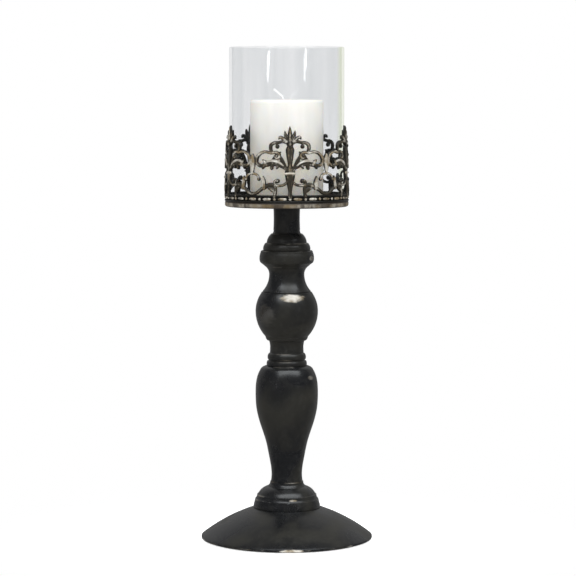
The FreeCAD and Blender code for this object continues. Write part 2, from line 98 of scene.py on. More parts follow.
# ---- Materials -----------------------------------------------------------------------------------------
class Nodes:
    """A node tree, with short ways to add nodes to it."""

    def __init__(self, tree, coordinates):
        self.tree = tree
        self.place = tree.nodes.new("ShaderNodeTexCoord").outputs[coordinates]

    def fill(self, socket, value):
        """Gives a socket a value, or links another node's output to it."""
        if isinstance(value, bpy.types.NodeSocket):
            self.tree.links.new(value, socket)
        else:
            socket.default_value = value

    def stretched(self, x, y, z):
        """Object coordinates scaled by its own factor along each axis."""
        node = self.tree.nodes.new("ShaderNodeMapping")
        self.fill(node.inputs["Vector"], self.place)
        node.inputs["Scale"].default_value = (x, y, z)
        return node.outputs["Vector"]

    def noise(self, scale, detail=3.0, roughness=0.5, distortion=0.0, place=None):
        """Noise from 0 to 1 over the coordinates, or over place."""
        node = self.tree.nodes.new("ShaderNodeTexNoise")
        self.fill(node.inputs["Vector"], place or self.place)
        for name, value in (("Scale", scale), ("Detail", detail), ("Roughness", roughness),
                            ("Distortion", distortion)):
            node.inputs[name].default_value = value
        return node.outputs["Fac"]

    def maths(self, operation, *values):
        """One step of arithmetic on numbers or other nodes' outputs."""
        node = self.tree.nodes.new("ShaderNodeMath")
        node.operation = operation
        for socket, value in zip(node.inputs, values):
            self.fill(socket, value)
        return node.outputs["Value"]

    def mapped(self, value, from_low, from_high, to_low=0.0, to_high=1.0):
        """value taken from one range to another, eased and clamped."""
        node = self.tree.nodes.new("ShaderNodeMapRange")
        node.interpolation_type = "SMOOTHSTEP"
        for socket, number in zip(node.inputs, (value, from_low, from_high, to_low, to_high)):
            self.fill(socket, number)
        return node.outputs["Result"]

    def mixed(self, share, first, second):
        """Colour that goes from first to second as share goes from 0 to 1."""
        node = self.tree.nodes.new("ShaderNodeMixRGB")
        for socket, value in zip(node.inputs, (share, first, second)):
            self.fill(socket, value)
        return node.outputs["Color"]

    def parts(self):
        """X, Y and Z of the coordinates."""
        node = self.tree.nodes.new("ShaderNodeSeparateXYZ")
        self.fill(node.inputs["Vector"], self.place)
        return node.outputs["X"], node.outputs["Y"], node.outputs["Z"]

    def near(self, point, across, tall):
        """1 at a point in the object, falling to 0 at the distances across and tall from it."""
        node = self.tree.nodes.new("ShaderNodeVectorMath")
        node.operation = "DISTANCE"
        self.fill(node.inputs[0], self.stretched(1 / across, 1 / across, 1 / tall))
        node.inputs[1].default_value = (point[0] / across, point[1] / across, point[2] / tall)
        return self.mapped(node.outputs["Value"], 1.0, 0.3)

    def attribute(self, name):
        """A number that the mesh carries at each point."""
        node = self.tree.nodes.new("ShaderNodeAttribute")
        node.attribute_name = name
        return node.outputs["Fac"]


class Shader(Nodes):
    """A material whose nodes drive one Principled shader, which starts with the given constants."""

    def __init__(self, name, **constants):
        self.material = bpy.data.materials.new(name)
        self.material.use_nodes = True
        super().__init__(self.material.node_tree, "Object")
        self.principled = self.tree.nodes["Principled BSDF"]
        for socket, value in constants.items():
            self.principled.inputs[socket.replace("_", " ")].default_value = value

    def drive(self, name, value):
        """Gives an input of the Principled shader a value or another node's output."""
        self.fill(self.principled.inputs[name], value)

    def bumped(self, height, strength, distance):
        """Fine relief in the surface. distance is how deep it is at strength 1."""
        node = self.tree.nodes.new("ShaderNodeBump")
        self.fill(node.inputs["Height"], height)
        node.inputs["Strength"].default_value = strength
        node.inputs["Distance"].default_value = distance
        self.drive("Normal", node.outputs["Normal"])

    def see_through(self, tint, least, most):
        """Lets what is behind show through, tinted. The share that mirrors goes from least, seen square on,
        to most at the edges."""
        clear = self.tree.nodes.new("ShaderNodeBsdfTransparent")
        self.fill(clear.inputs["Color"], tint)
        facing = self.tree.nodes.new("ShaderNodeLayerWeight")
        facing.inputs["Blend"].default_value = 0.2
        mix = self.tree.nodes.new("ShaderNodeMixShader")
        self.fill(mix.inputs[0], self.mapped(facing.outputs["Facing"], 0.0, 1.0, least, most))
        self.tree.links.new(clear.outputs[0], mix.inputs[1])
        self.tree.links.new(self.principled.outputs[0], mix.inputs[2])
        self.tree.links.new(mix.outputs[0], self.tree.nodes["Material Output"].inputs["Surface"])


def colour(red, green, blue):
    return (red, green, blue, 1.0)


def around(radius, angle, height):
    """Point at an angle round the axis, counted from the front towards the right."""
    return (radius * math.sin(angle), -radius * math.cos(angle), height)


def worn_and_highlight_places():
    """Where the black paint is rubbed through, as (point, reach across, reach up and down, strength): six
    places in front, which are also painted highlights, and five more round the back."""
    ball_top, foot_rim = high("ball").z - 6.5 * MM, 1.8 * MM
    shoulder, roll = high("vase").z - 12 * MM, low("capital").z + 8 * MM
    collar, belly = low("foot_collar").z + 10.5 * MM, low("ball").z + 26 * MM
    places = [(around(25 * MM, 0.22, ball_top), 20 * MM, 6.5 * MM, 0.9),
              (around(81 * MM, 0.06, foot_rim), 21 * MM, 3.0 * MM, 0.8),
              (around(27 * MM, 0.95, shoulder), 7 * MM, 4 * MM, 0.20),
              (around(25.5 * MM, 1.15, roll), 7 * MM, 5 * MM, 0.20),
              (around(29 * MM, 0.22, collar), 7 * MM, 1.6 * MM, 0.6),
              (around(30 * MM, -0.76, belly), 20 * MM, 18 * MM, 0.05)]
    chance = random.Random(7)
    for height, radius in ((ball_top, 25), (foot_rim, 81), (foot_rim, 81), (shoulder, 27), (roll, 25.5)):
        angle = chance.uniform(1.6, 5.0)
        across, tall = chance.uniform(8, 16) * MM, chance.uniform(2, 5) * MM
        places.append((around(radius * MM, angle, height), across, tall, 0.7))
    return places


def arris_heights():
    """Heights of the stem's joints and sharp rings, where paint wears first."""
    rings = {"foot_collar": [8.4, 12.6], "vase_neck": [4.6, 6.3, 12.0], "capital": [15.2, 22.4]}
    foot_rim = 2.2 * MM
    heights = [low(node).z for node in STEM_NODES[2:]] + [foot_rim]
    for node, steps in rings.items():
        heights += [low(node).z + step * MM for step in steps]
    return heights


def black_metal():
    """Semi-gloss black paint over bronze, faintly clouded with olive and brown, worn on its edges, with
    painted highlights in its worn patches in front.
    """
    shader = Shader("black_metal", Metallic=0.0, Specular_IOR_Level=0.65)
    clouds = shader.mapped(shader.noise(17, 3.0, 0.45, 0.9), 0.38, 0.66)
    fine = shader.noise(240, 3.0, 0.6)
    paint = shader.mixed(clouds, colour(0.0066, 0.0071, 0.0083), colour(0.0190, 0.0180, 0.0138))
    paint = shader.mixed(shader.mapped(fine, 0.45, 0.75, 0.0, 0.25), paint, colour(0.034, 0.033, 0.030))
    height = shader.parts()[2]
    ring = 0.0
    for arris in arris_heights():
        distance = shader.maths("ABSOLUTE", shader.maths("SUBTRACT", height, arris))
        ring = shader.maths("MAXIMUM", ring, shader.mapped(distance, 0.8 * MM, 0.1 * MM))
    wear_and_highlight = shader.maths("MULTIPLY", ring, shader.mapped(shader.noise(60, 3.0), 0.48, 0.78, 0.0, 0.35))
    streaks = shader.noise(110, 4.0, 0.65, 0.4, shader.stretched(1.0, 1.0, 3.0))
    # worn patches: rubbed-through paint, and the ones in front are also painted highlights
    for point, across, tall, strength in worn_and_highlight_places():
        close_by = shader.maths("MULTIPLY", shader.near(point, across, tall), 0.65)
        patchy = shader.maths("ADD", close_by, streaks)
        wear_and_highlight = shader.maths("MAXIMUM", wear_and_highlight, shader.mapped(patchy, 0.82, 1.16, 0.0, strength))
    spots = shader.mapped(shader.noise(85, 2.0), 0.35, 0.65)
    # pale bronze of the worn patches, which in front is also painted highlight
    bare_and_highlight = shader.mixed(spots, colour(0.26, 0.21, 0.135), colour(0.62, 0.59, 0.53))
    shader.drive("Base Color", shader.mixed(wear_and_highlight, paint, bare_and_highlight))
    shader.drive("Roughness", shader.mapped(clouds, 0.0, 1.0, 0.27, 0.40))
    ripple = shader.maths("ADD", shader.noise(60, 2.0), shader.maths("MULTIPLY", fine, 0.25))
    shader.bumped(ripple, 0.30, 0.30 * MM)
    return shader.material


def gallery_metal(name, gilt):
    """Dark cast metal with gold and silver rubbed on its high points; the brightest silver is also painted
    highlight. gilt is how much, from 0 to 1.
    """
    shader = Shader(name, IOR=1.5)
    lift = shader.attribute("lift")
    broken = shader.noise(330, 3.0, 0.65)
    cloud = shader.noise(120, 3.0, 0.6)
    rub = shader.maths("ADD", shader.maths("MULTIPLY", lift, 0.80), shader.maths("MULTIPLY", cloud, 0.80))
    rub = shader.maths("ADD", rub, shader.maths("MULTIPLY", broken, 0.60))
    rub = shader.maths("ADD", rub, shader.maths("MULTIPLY", shader.attribute("gilt"), 0.34))
    rub = shader.mapped(rub, 1.44 - 0.34 * gilt, 1.76 - 0.34 * gilt)
    dark = shader.mixed(cloud, colour(0.015, 0.0128, 0.0086), colour(0.055, 0.0455, 0.0285))
    dark = shader.mixed(shader.mapped(lift, 0.40, 0.95), colour(0.0085, 0.0078, 0.0062), dark)
    tone = shader.mapped(shader.noise(150, 2.0), 0.38, 0.64)
    warm = shader.mixed(tone, colour(0.32, 0.245, 0.145), colour(0.72, 0.69, 0.61))
    # near-white silver where gilt passes 1: rubbed metal, and a painted highlight on the leaf scrolls' upper
    # edges and the waist bands
    silver_highlight = shader.mapped(shader.attribute("gilt"), 1.0, 2.0)
    warm = shader.mixed(silver_highlight, warm, colour(0.88, 0.87, 0.84))
    shader.drive("Base Color", shader.mixed(rub, dark, warm))
    shader.drive("Metallic", shader.maths("MULTIPLY", rub, 0.55))
    shader.drive("Roughness", shader.mapped(broken, 0.3, 0.7, 0.30, 0.48))
    shader.bumped(broken, 0.40, 0.25 * MM)
    return shader.material


def tray_metal():
    """Brown bronze, dark underneath and rubbed light along its rim."""
    shader = Shader("tray_metal", IOR=1.5)
    height = shader.parts()[2]
    rim = shader.mapped(height, low("pan").z + 6.7 * MM, low("pan").z + 8.2 * MM)
    rim = shader.maths("MULTIPLY", rim, shader.mapped(height, RIM_TOP - 0.8 * MM, RIM_TOP - 1.6 * MM))
    streaks = shader.noise(120, 4.0, 0.6, 0.3, shader.stretched(1.0, 1.0, 0.5))
    grain = shader.noise(500, 2.0)
    rub = shader.maths("MULTIPLY", rim, shader.mapped(streaks, 0.40, 0.60, 0.12, 1.0))
    dark = shader.mixed(grain, colour(0.018, 0.0145, 0.012), colour(0.050, 0.037, 0.026))
    tone = shader.mapped(shader.noise(60, 2.0), 0.40, 0.62)
    warm = shader.mixed(tone, colour(0.210, 0.155, 0.085), colour(0.36, 0.325, 0.265))
    shader.drive("Base Color", shader.mixed(rub, dark, warm))
    shader.drive("Metallic", shader.maths("MULTIPLY", rub, 0.45))
    shader.drive("Roughness", shader.mapped(streaks, 0.3, 0.7, 0.52, 0.34))
    shader.bumped(shader.maths("ADD", streaks, shader.maths("MULTIPLY", grain, 0.3)), 0.25, 0.25 * MM)
    return shader.material


def steel():
    """Zinc-plated steel of the rod, nuts and washers."""
    shader = Shader("steel", Metallic=1.0)
    grain = shader.noise(700, 3.0, 0.6, 0.0, shader.stretched(1.0, 1.0, 0.15))
    shader.drive("Base Color", shader.mixed(grain, colour(0.42, 0.42, 0.41), colour(0.66, 0.66, 0.64)))
    shader.drive("Roughness", shader.mapped(grain, 0.3, 0.7, 0.28, 0.44))
    shader.bumped(grain, 0.15, 0.1 * MM)
    return shader.material


def felt():
    """Short black felt."""
    shader = Shader("felt", Roughness=0.95)
    fibre = shader.noise(1800, 4.0, 0.7, 1.5)
    shader.drive("Base Color", shader.mixed(fibre, colour(0.006, 0.006, 0.006), colour(0.035, 0.034, 0.033)))
    shader.bumped(fibre, 0.8, 0.4 * MM)
    return shader.material


def wax():
    """Cream-white wax, slightly frosted. Low down it has painted warm bounce light and a faint painted glow.
    """
    shader = Shader("wax", Subsurface_Weight=0.35, Subsurface_Scale=0.012, IOR=1.44)
    shader.principled.inputs["Subsurface Radius"].default_value = (1.0, 0.72, 0.42)
    frost = shader.noise(75, 5.0, 0.6, 0.4, shader.stretched(1.0, 1.0, 0.6))
    speck = shader.noise(600, 2.0)
    upper = shader.mapped(shader.parts()[2], low("candle").z + 25 * MM, low("candle").z + 80 * MM)
    # painted warm bounce light low down, fading to plain cream-white higher up
    warm = shader.mixed(upper, colour(0.95, 0.885, 0.745), colour(0.785, 0.768, 0.727))
    frosted = shader.mapped(frost, 0.35, 0.7)
    shader.drive("Base Color", shader.mixed(frosted, warm, colour(0.822, 0.808, 0.768)))
    # painted glow low down, where the gallery shades the wax
    shader.drive("Emission Color", colour(1.0, 0.94, 0.80))
    shader.drive("Emission Strength", shader.mapped(upper, 0.10, 0.90, 0.08, 0.0))
    shader.drive("Roughness", shader.mapped(frost, 0.3, 0.7, 0.42, 0.56))
    shader.bumped(shader.maths("ADD", frost, shader.maths("MULTIPLY", speck, 0.2)), 0.12, 0.4 * MM)
    return shader.material


def cotton():
    """Waxed white cotton."""
    shader = Shader("cotton", Roughness=0.8)
    thread = shader.noise(2600, 2.0, 0.6, 0.0, shader.stretched(1.0, 1.0, 0.35))
    shader.drive("Base Color", shader.mixed(thread, colour(0.76, 0.76, 0.77), colour(0.90, 0.90, 0.90)))
    shader.bumped(thread, 0.5, 0.15 * MM)
    return shader.material


def clear_glass():
    """Clear glass with a faint grey cast in upright streaks, and a painted green reflection down its right
    side.
    """
    shader = Shader("clear_glass", Metallic=1.0, Roughness=0.02)
    wave = shader.noise(55, 2.0, 0.5, 0.0, shader.stretched(1.0, 1.0, 0.06))
    shader.drive("Base Color", shader.mixed(wave, colour(0.93, 0.95, 0.95), colour(1.0, 1.0, 1.0)))
    shader.bumped(wave, 0.02, 0.1 * MM)
    streaks = shader.mapped(wave, 0.36, 0.62)
    grey = shader.mixed(streaks, colour(0.940, 0.946, 0.951), colour(0.974, 0.977, 0.981))
    # painted green reflection down the right side of the glass
    painted_reflection_side = shader.mapped(shader.parts()[0], 47.2 * MM, 52.5 * MM)
    tint = shader.mixed(painted_reflection_side, grey, colour(0.957, 0.969, 0.922))
    shader.see_through(tint, 0.04, 0.14)
    return shader.material


# ---- Meshes --------------------------------------------------------------------------------------------
def new_piece(name, points, faces, material, body, replaced):
    """A smooth mesh object that rides on a body and stands for one CAD node."""
    mesh = bpy.data.meshes.new(name)
    mesh.from_pydata([tuple(p) for p in points], [], [tuple(f) for f in faces])
    mesh.validate()
    mesh.update()
    made = bpy.data.objects.new(name, mesh)
    bpy.context.scene.collection.objects.link(made)
    for face in mesh.polygons:
        face.use_smooth = True
    mesh.materials.append(material)
    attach(made, body)
    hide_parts(replaced)
    return made


def lathe(outline, sides):
    """Points and faces of a closed outline of (radius, height) spun about Z. The outline runs up the
    outside; a radius of 0 is one point on the axis."""
    points, rings = [], []
    for radius, height in outline:
        first = len(points)
        if radius == 0:
            points.append((0.0, 0.0, height))
            rings.append([first] * sides)
            continue
        points += [around(radius, math.tau * k / sides, height) for k in range(sides)]
        rings.append(list(range(first, first + sides)))
    faces = []
    for ring, following in zip(rings, rings[1:] + rings[:1]):
        for k in range(sides):
            after = (k + 1) % sides
            corners = [ring[k], ring[after], following[after], following[k]]
            kept = [c for i, c in enumerate(corners) if c not in corners[:i]]
            if len(kept) > 2:
                faces.append(kept)
    return points, faces


def arc(centre, radius, first, last, count):
    """Points of an arc in an outline, from one angle to another in degrees."""
    angles = [math.radians(first + (last - first) * k / (count - 1)) for k in range(count)]
    return [(centre[0] + radius * math.cos(a), centre[1] + radius * math.sin(a)) for a in angles]


def soften(node, width):
    """Rounds the sharp edges of a CAD node with modifiers, so that they catch the light."""
    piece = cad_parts[node]
    weld = piece.modifiers.new("weld", "WELD")
    weld.merge_threshold = 0.002 * MM
    bevel = piece.modifiers.new("bevel", "BEVEL")
    bevel.width = width
    bevel.segments = 2
    bevel.limit_method = "ANGLE"
    bevel.angle_limit = math.radians(28)
    bevel.harden_normals = True


# ---- Cast relief, drawn flat ---------------------------------------------------------------------------
# The gallery's pattern is drawn on the unrolled wall in millimetres: u runs round the wall from the axis
# of the piece, v runs up from the upper wire, and h runs outwards from the face of the wall.
class Relief:
    """Closed shells of one casting, drawn flat, with how far each point stands up and how gilt it is.
    back is the height of its flat back, side that of a bar's straight sides above it, and swell how much
    wider than drawn its bars are cast."""

    def __init__(self, back, side, swell):
        self.back = back
        self.side = side
        self.swell = swell
        self.points = []
        self.faces = []
        self.lift = []
        self.gilt = []

    def shell(self, rings, lifts, gilt):
        """Adds a closed shell from rings of (u, h, v) points, with the lift of each point of a ring."""
        first = len(self.points)
        count = len(rings[0])
        for ring, ring_lifts in zip(rings, lifts):
            self.points += list(ring)
            self.lift += list(ring_lifts)
        self.gilt += [gilt] * (len(rings) * count)
        for k in range(len(rings) - 1):
            here, there = first + k * count, first + (k + 1) * count
            for j in range(count):
                after = (j + 1) % count
                self.faces.append((here + j, here + after, there + after, there + j))
        self.faces.append(tuple(range(first + count - 1, first - 1, -1)))
        self.faces.append(tuple(range(first + (len(rings) - 1) * count, first + len(rings) * count)))

    def ribbon(self, points, widths, rise=0.5, flute=0.0, gilt=0.0):
        """A bar along a smooth curve, rounded in front. flute over 0 cuts a groove along it, under 0
        leaves a ridge. Where the bar is narrow it stands up less and takes less gilding."""
        knots = np.array([(u, v, width * self.swell) for (u, v), width in zip(points, widths)])
        along, centres, halves = smooth_curve(knots)
        edge = self.back + self.side
        angles = np.linspace(0, math.pi, 13)
        side = -np.cos(angles)
        arch = np.sin(angles) ** 0.75
        if flute > 0:
            arch = arch * (1 - flute * np.cos(math.pi * side) ** 2)
        else:
            arch = arch * (1 + flute * np.sin(math.pi * side / 2) ** 2)
        rings, lifts = [], []
        for tangent, centre, half in zip(along, centres, halves):
            across = np.array([tangent[1], -tangent[0]])
            crest = rise * min(1.0, half / 0.9)
            heights = edge + (crest - edge) * arch
            section = list(zip(side, heights)) + [(1.0, self.back), (-1.0, self.back)]
            rings.append([(centre[0] + across[0] * share * half, height, centre[1] + across[1] * share * half)
                          for share, height in section])
            lifts.append(list(arch * min(1.0, 0.45 + half * 0.4)) + [0.0, 0.0])
        self.shell(rings, lifts, gilt)

    def knob(self, place, profile, gilt=0.0, sides=20):
        """A turned boss. profile is (radius, height above the wall) from the rim to near the middle."""
        rings, lifts = [], []
        top = max(height for radius, height in profile)
        for radius, height in [(profile[0][0], self.back)] + profile:
            angles = [math.tau * k / sides for k in range(sides)]
            rings.append([(place[0] + radius * math.cos(a), height, place[1] + radius * math.sin(a))
                          for a in angles])
            lifts.append([max(0.0, height / top) if height > self.back else 0.0] * sides)
        self.shell(rings, lifts, gilt)

    def ball(self, place, radius, rise=0.9, gilt=0.0):
        """A round drop that stands up by rise."""
        angles = [math.radians(a) for a in (0, 15, 30, 45, 60, 75, 86)]
        base = self.back * 0.5
        self.knob(place, [(radius * math.cos(a), base + (rise - base) * math.sin(a)) for a in angles], gilt)

    def mirrored(self):
        """Adds the mirror image of everything so far about the axis u = 0."""
        count = len(self.points)
        self.points += [(-u, h, v) for u, h, v in self.points]
        self.faces += [tuple(i + count for i in reversed(face)) for face in self.faces]
        self.lift += self.lift
        self.gilt += self.gilt

    def piece(self, name, material, turn, replaced):
        """The relief bent round the gallery's wall, at an angle from the front."""
        flat = np.array(self.points) * MM
        angles = turn + flat[:, 0] / (DRAWING_RADIUS * MM)
        radii = WALL_RADIUS - WALL_TAPER * flat[:, 2] + flat[:, 1]
        heights = GALLERY_BASE + flat[:, 2]
        places = np.column_stack((radii * np.sin(angles), -radii * np.cos(angles), heights))
        made = new_piece(name, places.tolist(), self.faces, material, "stand", replaced)
        for attribute, values in (("lift", self.lift), ("gilt", self.gilt)):
            made.data.attributes.new(attribute, "FLOAT", "POINT").data.foreach_set("value", values)


def smooth_curve(knots, spacing=0.55):
    """Samples of a smooth curve through (u, v, width) knots, with round ends: direction, centre and half
    width at each."""
    steps = np.linalg.norm(np.diff(knots[:, :2], axis=0), axis=1)
    run = np.concatenate(([0.0], np.cumsum(steps)))
    slope = np.gradient(knots, run, axis=0)
    caps = knots[[0, -1], 2] / 2
    count = max(7, int((run[-1] + caps.sum()) / spacing))
    at = np.linspace(-caps[0], run[-1] + caps[1], count)
    at[0] += caps[0] * 0.02
    at[-1] -= caps[1] * 0.02
    inside = np.clip(at, 0, run[-1])
    before = np.clip(np.searchsorted(run, inside, side="right") - 1, 0, len(run) - 2)
    after = before + 1
    span = (run[after] - run[before])[:, None]
    share = ((inside - run[before])[:, None]) / span
    # a cubic between each two knots, and how fast it changes
    values = ((1 + 2 * share) * (1 - share) ** 2 * knots[before]
              + share * (1 - share) ** 2 * span * slope[before]
              + share ** 2 * (3 - 2 * share) * knots[after]
              + share ** 2 * (share - 1) * span * slope[after])
    rates = (6 * share * (share - 1) * (knots[before] - knots[after]) / span
             + (1 - share) * (1 - 3 * share) * slope[before]
             + share * (3 * share - 2) * slope[after])
    along = rates[:, :2] / np.linalg.norm(rates[:, :2], axis=1)[:, None]
    centres = values[:, :2] + along * (at - inside)[:, None]
    halves = np.maximum(values[:, 2], 0.3) / 2
    into_cap = np.abs(at - inside) / np.where(at < 0, caps[0], caps[1])
    return along, centres, halves * np.sqrt(np.maximum(1 - into_cap ** 2, 0.02))


def volute(centre, inner, outer, first, last, count):
    """Points of a spiral about centre, from the radius inner at the angle first to outer at last."""
    points = []
    for k in range(count):
        share = k / (count - 1)
        radius = inner + (outer - inner) * share
        angle = math.radians(first + (last - first) * share)
        points.append((centre[0] + radius * math.cos(angle), centre[1] + radius * math.sin(angle)))
    return points


# ---- The gallery ---------------------------------------------------------------------------------------
def panel_relief():
    """One panel: a fleur-de-lis on its axis, with arms, scrolls, leaves and an arch on each side. A bar is
    its points, widths, rise, flute and gilt. gilt runs from -0.4, left dark, through 1, gold, to 2, bright
    silver; on the leaf scroll's upper edge and the waist band that silver is also a painted highlight."""
    relief = Relief(back=-WALL_DEPTH, side=0.63, swell=1.32)
    add = relief.ribbon
    # half of the palmette and the leaves beside the lance
    add([(1.0, 48.5), (2.7, 53.0), (4.3, 56.6), (5.0, 60.2)], [1.8, 3.0, 2.6, 0.6], 1.0, 0.3)
    add([(1.8, 48.6), (4.8, 51.4), (7.6, 53.6), (9.8, 54.4), (10.6, 52.8)], [1.8, 2.6, 2.6, 2.0, 1.2], 0.8)
    add([(2.6, 22.5), (5.2, 27.5), (7.4, 31.8), (9.3, 35.4), (10.6, 38.8)],
        [2.0, 2.8, 3.0, 2.4, 1.2], 0.8, 0.3, -0.3)
    # shoulder arm from the rosette, the curl that hangs from it and its ball
    add([(1.5, 48.2), (6.6, 50.2), (11.2, 49.3), (15.4, 49.0), (18.5, 46.8), (18.9, 43.6), (17.6, 40.2)],
        [2.2, 2.4, 2.3, 2.5, 2.8, 2.6, 2.4], 0.7, 0.0, -0.25)
    add([(9.6, 49.8), (12.3, 48.6), (12.9, 46.6)], [1.6, 2.0, 1.8], 0.9, 0.0, -0.3)
    relief.ball((12.2, 45.6), 2.1, 1.2, -0.4)
    # C-scroll: a dense volute with a leaf across it, then over the top and down beside the joint leaf
    spiral = volute((12.8, 36.7), 1.2, 3.2, 0.0, -270.0, 6)
    add(spiral + [(18.6, 39.6), (24.6, 40.6), (29.6, 38.9), (32.9, 35.0), (33.2, 30.6), (30.4, 27.7)],
        [2.2, 2.4, 2.6, 2.6, 2.6, 2.4, 2.2, 2.2, 2.4, 2.6, 2.6, 2.2], 0.7, 0.0, 0.1)
    relief.ball((12.8, 36.9), 2.2, 1.4, -0.2)
    add([(9.4, 40.2), (11.8, 38.2), (14.4, 35.6), (16.4, 34.2)], [1.4, 3.2, 3.0, 1.4], 1.0, 0.3, -0.2)
    # leaf scroll under it, with its lobes, the big drop and a silver upper edge that is also a painted
    # highlight on its upper side
    add([(3.2, 24.2), (6.8, 26.6), (11.6, 28.8), (17.5, 29.8), (23.8, 28.5), (29.0, 27.6), (32.6, 29.6)],
        [2.2, 2.8, 3.2, 3.7, 3.3, 2.8, 2.3], 0.9, 0.3, -0.1)
    add([(6.4, 27.8), (10.6, 30.8), (15.8, 32.3), (20.4, 31.9), (23.2, 30.9)],
        [1.2, 1.9, 2.1, 1.8, 1.0], 1.4, 0.3, 1.4)
    add([(17.0, 29.4), (17.6, 25.2)], [3.4, 2.4], 1.0, 0.0, -0.4)
    add([(22.6, 28.8), (24.6, 31.2), (26.4, 33.0)], [3.0, 2.6, 1.0], 0.9)
    add([(10.6, 28.6), (12.6, 25.2)], [2.6, 1.4], 0.8, 0.0, -0.3)
    add([(24.2, 28.6), (26.6, 25.0)], [2.6, 1.4], 0.8, 0.0, -0.3)
    # hook from the body, with its ball
    add([(2.6, 12.6), (5.4, 10.2), (9.6, 9.0), (13.7, 9.7), (15.0, 12.4), (12.8, 14.3)],
        [2.0, 2.0, 2.0, 2.2, 2.0, 1.8], 0.6, 0.0, -0.2)
    relief.ball((11.9, 13.4), 2.2, 1.0, -0.3)
    # arch on its leg, running down to the swag at the joint, and the leaf inside it
    add([(14.9, -1.0), (13.9, 4.0), (14.6, 8.3), (18.0, 9.8), (22.0, 8.7), (26.0, 6.9), (29.8, 4.4),
         (33.0, 2.2), (37.0, 1.0)], [2.6, 2.2, 2.6, 3.2, 3.2, 2.6, 2.4, 2.4, 2.4], 0.6, 0.0, -0.35)
    add([(14.6, 2.6), (17.0, 5.4), (20.0, 6.6)], [1.8, 3.6, 2.2], 0.8, 0.0, -0.4)
    relief.ball((14.4, 9.2), 1.5, 0.9)
    # upright leaf on the arch
    add([(25.0, 6.4), (25.7, 10.6), (26.0, 14.0), (26.2, 17.6)], [2.4, 3.8, 3.2, 0.8], 1.0, 0.3, 0.7)
    relief.mirrored()
    # on the axis: palmette, lance, waist and tapered body, with the rosette over their joint
    add([(0, 48), (0, 54), (0, 59.5), (0, 64.5)], [2.4, 3.6, 2.8, 0.5], 1.2, -0.4, 0.2)
    add([(0, 26.5), (0, 31), (0, 38), (0, 43), (0, 47)], [2.8, 3.8, 5.6, 6.2, 3.4], 1.0, 0.3, -0.2)
    add([(0, 17.5), (0, 21), (0, 24), (0, 28)], [6.8, 7.4, 6.8, 3.2], 0.6, -0.3, -0.2)
    add([(0, 18.6), (0, 14), (0, 8), (0, 3), (0, -1.0)], [7.4, 6.2, 4.0, 2.8, 3.6], 0.9, 0.35, -0.1)
    # waist band in bright silver: rubbed metal that is also a painted highlight across the knot
    add([(-3.7, 20.1), (0, 20.3), (3.7, 20.1)], [2.2, 2.2, 2.2], 1.5, 0.0, 1.2)
    relief.knob((0, 47.9), [(3.3, -0.6), (3.3, 0.9), (3.0, 1.4), (2.6, 1.4), (2.3, 0.9), (2.0, 1.0),
                            (1.6, 1.6), (0.8, 2.0), (0.2, 2.1)], gilt=0.3, sides=24)
    return relief


def joint_relief():
    """Pendant leaf over a joint of two panels, with an arm and a drop on each side."""
    relief = Relief(back=0.03, side=0.35, swell=1.1)
    relief.ribbon([(0, 20.6), (3.2, 19.8), (5.8, 18.3), (7.0, 16.2)], [2.0, 2.0, 2.0, 1.8], 1.5, 0.0, 0.6)
    relief.ball((7.0, 15.2), 1.9, 2.0)
    relief.mirrored()
    relief.ribbon([(0, 38.0), (0, 35.0), (0, 30.0), (0, 25.0), (0, 19.6)],
                  [2.0, 5.4, 6.4, 4.4, 1.6], 2.0, -0.35, 1.0)
    return relief


def gallery(material):
    """The five panels and the leaf over each joint between them."""
    panel, joint = panel_relief(), joint_relief()
    for k in range(PANELS):
        turn = GALLERY_TURN + k * PANEL_ANGLE
        number = k + 1
        panel.piece("gallery_panel_%d" % number, material, turn, "filigree_panel_%d" % number)
        joint.piece("pendant_leaf_%d" % number, material, turn + PANEL_ANGLE / 2, "joint_leaf_%d" % number)


def turned_bead(profile, sides=14):
    """Points and faces of a (position, radius) profile spun about the X axis, in millimetres."""
    points, faces = [], []
    for x, radius in profile:
        for k in range(sides):
            angle = math.tau * k / sides
            points.append(Vector((x, -radius * math.cos(angle), radius * math.sin(angle))))
    for k in range(len(profile) - 1):
        for j in range(sides):
            here, after = k * sides + j, k * sides + (j + 1) % sides
            faces.append((here, here + sides, after + sides, after))
    faces.append(tuple(range(sides)))
    faces.append(tuple(reversed(range(len(points) - sides, len(points)))))
    return points, faces


def border(material):
    """Strip of beads and reels in turn between the two wires, with a bead under each fleur-de-lis."""
    base, top = low("border_band").z, high("border_band").z
    face = radius_of("border_band") - 1.1 * MM
    back = face - 2.2 * MM
    points, faces = lathe([(face, base), (face, top), (back, top), (back, base)], sides=180)
    lifts = [0.0] * len(points)
    stud_radius = 1.55
    bead_angles = [math.radians(a) for a in (-80, -55, -30, -10, 10, 30, 55, 80)]
    bead = [(stud_radius * math.sin(a), stud_radius * math.cos(a)) for a in bead_angles]
    reel_half = [(4.1, 0.35), (3.7, 0.70), (2.8, 0.88), (1.4, 0.97)]
    reel = [(-x, stud_radius * share) for x, share in reel_half] + [(0.0, stud_radius)]
    reel += [(x, stud_radius * share) for x, share in reversed(reel_half)]
    pairs = PANELS * 5
    for k in range(2 * pairs):
        turn = GALLERY_TURN + k * math.pi / pairs
        stud, stud_faces = turned_bead(reel if k % 2 else bead)
        shift = Matrix.Rotation(turn, 4, "Z") @ Matrix.Translation((0, -face, (base + top) / 2))
        first = len(points)
        points += [shift @ (p * MM) for p in stud]
        faces += [[i + first for i in corners] for corners in stud_faces]
        lifts += [min(1.0, max(0.0, -p.y)) for p in stud]
    made = new_piece("bead_border", points, faces, material, "stand", "border_band")
    made.data.attributes.new("lift", "FLOAT", "POINT").data.foreach_set("value", lifts)


